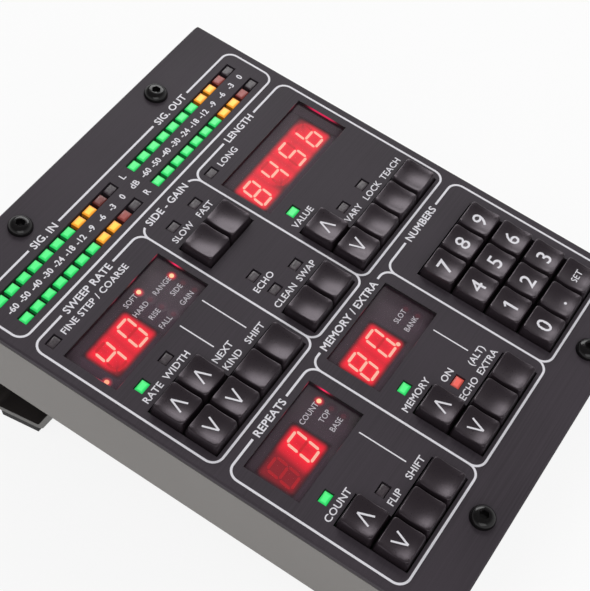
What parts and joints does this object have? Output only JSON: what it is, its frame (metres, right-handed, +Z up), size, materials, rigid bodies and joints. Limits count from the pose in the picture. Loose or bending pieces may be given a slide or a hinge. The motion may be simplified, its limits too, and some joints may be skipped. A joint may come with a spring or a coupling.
{
  "type": "digital delay unit",
  "caption": "Tilted desktop control surface of a studio delay, with sprung key clusters, red number displays, lamp level meters, a sheet-metal case and a bent rear stand.",
  "frame": {"origin": "middle of the bounding box, on the table plane under the feet and the stand pad", "axes": "+X to the right as the user sees it, +Y from the front edge to the rear, +Z up"},
  "size_m": [0.135, 0.1724, 0.0732],
  "materials": {
    "panel_finish": "dark anodised, brushed left to right",
    "case_paint": "satin warm grey",
    "stand_paint": "dark satin paint",
    "rubber": "matt black",
    "black_steel": "black oxide",
    "plain_steel": "plain",
    "brass": "plain",
    "board": "solder mask",
    "black_plastic": "moulded",
    "key_plastic": "fine satin",
    "display_red": "lit red face",
    "smoked_window": "smoked, clear",
    "lamp_green": "lit green",
    "lamp_amber": "lit amber",
    "lamp_red": "red, dim or lit",
    "lamp_dark": "unlit"
  },
  "bodies": {
    "unit": {"front_panel": "panel_finish", "case_tub": "case_paint", "rear_stand": "stand_paint", "stand_pad": "rubber", "front_feet": "rubber", "panel_screws": "black_steel", "captive_nuts": "plain_steel", "base_screws": "black_steel", "main_board": "board", "board_standoffs": "brass", "board_screws": "plain_steel", "key_switches": "black_plastic", "modulation_display": "display_red", "delay_display": "display_red", "feedback_display": "display_red", "preset_display": "display_red", "display_windows": "smoked_window", "meter_housings": "black_plastic", "green_lamps": "lamp_green", "amber_lamps": "lamp_amber", "red_lamps": "lamp_red", "dark_lamps": "lamp_dark", "window_lamps": "lamp_red", "usb_socket": "plain_steel", "controller_chip": "black_plastic"},
    "modulation_down_1": {"modulation_down_1_key": "key_plastic"},
    "modulation_down_2": {"modulation_down_2_key": "key_plastic"},
    "modulation_up_1": {"modulation_up_1_key": "key_plastic"},
    "modulation_up_2": {"modulation_up_2_key": "key_plastic"},
    "modulation_shape": {"modulation_shape_key": "key_plastic"},
    "modulation_select": {"modulation_select_key": "key_plastic"},
    "pan_upper_left": {"pan_upper_left_key": "key_plastic"},
    "pan_upper_right": {"pan_upper_right_key": "key_plastic"},
    "pan_lower_left": {"pan_lower_left_key": "key_plastic"},
    "pan_lower_right": {"pan_lower_right_key": "key_plastic"},
    "delay_down": {"delay_down_key": "key_plastic"},
    "delay_up": {"delay_up_key": "key_plastic"},
    "delay_left": {"delay_left_key": "key_plastic"},
    "delay_middle": {"delay_middle_key": "key_plastic"},
    "delay_right": {"delay_right_key": "key_plastic"},
    "feedback_down": {"feedback_down_key": "key_plastic"},
    "feedback_up": {"feedback_up_key": "key_plastic"},
    "feedback_middle": {"feedback_middle_key": "key_plastic"},
    "feedback_right": {"feedback_right_key": "key_plastic"},
    "preset_down": {"preset_down_key": "key_plastic"},
    "preset_up": {"preset_up_key": "key_plastic"},
    "preset_middle": {"preset_middle_key": "key_plastic"},
    "preset_right": {"preset_right_key": "key_plastic"},
    "keypad_0": {"keypad_0_key": "key_plastic"},
    "keypad_point": {"keypad_point_key": "key_plastic"},
    "keypad_enter": {"keypad_enter_key": "key_plastic"},
    "keypad_1": {"keypad_1_key": "key_plastic"},
    "keypad_2": {"keypad_2_key": "key_plastic"},
    "keypad_3": {"keypad_3_key": "key_plastic"},
    "keypad_4": {"keypad_4_key": "key_plastic"},
    "keypad_5": {"keypad_5_key": "key_plastic"},
    "keypad_6": {"keypad_6_key": "key_plastic"},
    "keypad_7": {"keypad_7_key": "key_plastic"},
    "keypad_8": {"keypad_8_key": "key_plastic"},
    "keypad_9": {"keypad_9_key": "key_plastic"}
  },
  "joints": [
    {"name": "modulation_down_1_press", "type": "slide", "parent": "unit", "child": "modulation_down_1", "axis": [0, 0.284, -0.9588], "range_m": [0, 0.0008], "stiffness_N_per_m": 900},
    {"name": "modulation_down_2_press", "type": "slide", "parent": "unit", "child": "modulation_down_2", "axis": [0, 0.284, -0.9588], "range_m": [0, 0.0008], "stiffness_N_per_m": 900},
    {"name": "modulation_up_1_press", "type": "slide", "parent": "unit", "child": "modulation_up_1", "axis": [0, 0.284, -0.9588], "range_m": [0, 0.0008], "stiffness_N_per_m": 900},
    {"name": "modulation_up_2_press", "type": "slide", "parent": "unit", "child": "modulation_up_2", "axis": [0, 0.284, -0.9588], "range_m": [0, 0.0008], "stiffness_N_per_m": 900},
    {"name": "modulation_shape_press", "type": "slide", "parent": "unit", "child": "modulation_shape", "axis": [0, 0.284, -0.9588], "range_m": [0, 0.0008], "stiffness_N_per_m": 900},
    {"name": "modulation_select_press", "type": "slide", "parent": "unit", "child": "modulation_select", "axis": [0, 0.284, -0.9588], "range_m": [0, 0.0008], "stiffness_N_per_m": 900},
    {"name": "pan_upper_left_press", "type": "slide", "parent": "unit", "child": "pan_upper_left", "axis": [0, 0.284, -0.9588], "range_m": [0, 0.0008], "stiffness_N_per_m": 900},
    {"name": "pan_upper_right_press", "type": "slide", "parent": "unit", "child": "pan_upper_right", "axis": [0, 0.284, -0.9588], "range_m": [0, 0.0008], "stiffness_N_per_m": 900},
    {"name": "pan_lower_left_press", "type": "slide", "parent": "unit", "child": "pan_lower_left", "axis": [0, 0.284, -0.9588], "range_m": [0, 0.0008], "stiffness_N_per_m": 900},
    {"name": "pan_lower_right_press", "type": "slide", "parent": "unit", "child": "pan_lower_right", "axis": [0, 0.284, -0.9588], "range_m": [0, 0.0008], "stiffness_N_per_m": 900},
    {"name": "delay_down_press", "type": "slide", "parent": "unit", "child": "delay_down", "axis": [0, 0.284, -0.9588], "range_m": [0, 0.0008], "stiffness_N_per_m": 900},
    {"name": "delay_up_press", "type": "slide", "parent": "unit", "child": "delay_up", "axis": [0, 0.284, -0.9588], "range_m": [0, 0.0008], "stiffness_N_per_m": 900},
    {"name": "delay_left_press", "type": "slide", "parent": "unit", "child": "delay_left", "axis": [0, 0.284, -0.9588], "range_m": [0, 0.0008], "stiffness_N_per_m": 900},
    {"name": "delay_middle_press", "type": "slide", "parent": "unit", "child": "delay_middle", "axis": [0, 0.284, -0.9588], "range_m": [0, 0.0008], "stiffness_N_per_m": 900},
    {"name": "delay_right_press", "type": "slide", "parent": "unit", "child": "delay_right", "axis": [0, 0.284, -0.9588], "range_m": [0, 0.0008], "stiffness_N_per_m": 900},
    {"name": "feedback_down_press", "type": "slide", "parent": "unit", "child": "feedback_down", "axis": [0, 0.284, -0.9588], "range_m": [0, 0.0008], "stiffness_N_per_m": 900},
    {"name": "feedback_up_press", "type": "slide", "parent": "unit", "child": "feedback_up", "axis": [0, 0.284, -0.9588], "range_m": [0, 0.0008], "stiffness_N_per_m": 900},
    {"name": "feedback_middle_press", "type": "slide", "parent": "unit", "child": "feedback_middle", "axis": [0, 0.284, -0.9588], "range_m": [0, 0.0008], "stiffness_N_per_m": 900},
    {"name": "feedback_right_press", "type": "slide", "parent": "unit", "child": "feedback_right", "axis": [0, 0.284, -0.9588], "range_m": [0, 0.0008], "stiffness_N_per_m": 900},
    {"name": "preset_down_press", "type": "slide", "parent": "unit", "child": "preset_down", "axis": [0, 0.284, -0.9588], "range_m": [0, 0.0008], "stiffness_N_per_m": 900},
    {"name": "preset_up_press", "type": "slide", "parent": "unit", "child": "preset_up", "axis": [0, 0.284, -0.9588], "range_m": [0, 0.0008], "stiffness_N_per_m": 900},
    {"name": "preset_middle_press", "type": "slide", "parent": "unit", "child": "preset_middle", "axis": [0, 0.284, -0.9588], "range_m": [0, 0.0008], "stiffness_N_per_m": 900},
    {"name": "preset_right_press", "type": "slide", "parent": "unit", "child": "preset_right", "axis": [0, 0.284, -0.9588], "range_m": [0, 0.0008], "stiffness_N_per_m": 900},
    {"name": "keypad_0_press", "type": "slide", "parent": "unit", "child": "keypad_0", "axis": [0, 0.284, -0.9588], "range_m": [0, 0.0008], "stiffness_N_per_m": 900},
    {"name": "keypad_point_press", "type": "slide", "parent": "unit", "child": "keypad_point", "axis": [0, 0.284, -0.9588], "range_m": [0, 0.0008], "stiffness_N_per_m": 900},
    {"name": "keypad_enter_press", "type": "slide", "parent": "unit", "child": "keypad_enter", "axis": [0, 0.284, -0.9588], "range_m": [0, 0.0008], "stiffness_N_per_m": 900},
    {"name": "keypad_1_press", "type": "slide", "parent": "unit", "child": "keypad_1", "axis": [0, 0.284, -0.9588], "range_m": [0, 0.0008], "stiffness_N_per_m": 900},
    {"name": "keypad_2_press", "type": "slide", "parent": "unit", "child": "keypad_2", "axis": [0, 0.284, -0.9588], "range_m": [0, 0.0008], "stiffness_N_per_m": 900},
    {"name": "keypad_3_press", "type": "slide", "parent": "unit", "child": "keypad_3", "axis": [0, 0.284, -0.9588], "range_m": [0, 0.0008], "stiffness_N_per_m": 900},
    {"name": "keypad_4_press", "type": "slide", "parent": "unit", "child": "keypad_4", "axis": [0, 0.284, -0.9588], "range_m": [0, 0.0008], "stiffness_N_per_m": 900},
    {"name": "keypad_5_press", "type": "slide", "parent": "unit", "child": "keypad_5", "axis": [0, 0.284, -0.9588], "range_m": [0, 0.0008], "stiffness_N_per_m": 900},
    {"name": "keypad_6_press", "type": "slide", "parent": "unit", "child": "keypad_6", "axis": [0, 0.284, -0.9588], "range_m": [0, 0.0008], "stiffness_N_per_m": 900},
    {"name": "keypad_7_press", "type": "slide", "parent": "unit", "child": "keypad_7", "axis": [0, 0.284, -0.9588], "range_m": [0, 0.0008], "stiffness_N_per_m": 900},
    {"name": "keypad_8_press", "type": "slide", "parent": "unit", "child": "keypad_8", "axis": [0, 0.284, -0.9588], "range_m": [0, 0.0008], "stiffness_N_per_m": 900},
    {"name": "keypad_9_press", "type": "slide", "parent": "unit", "child": "keypad_9", "axis": [0, 0.284, -0.9588], "range_m": [0, 0.0008], "stiffness_N_per_m": 900}
  ]
}
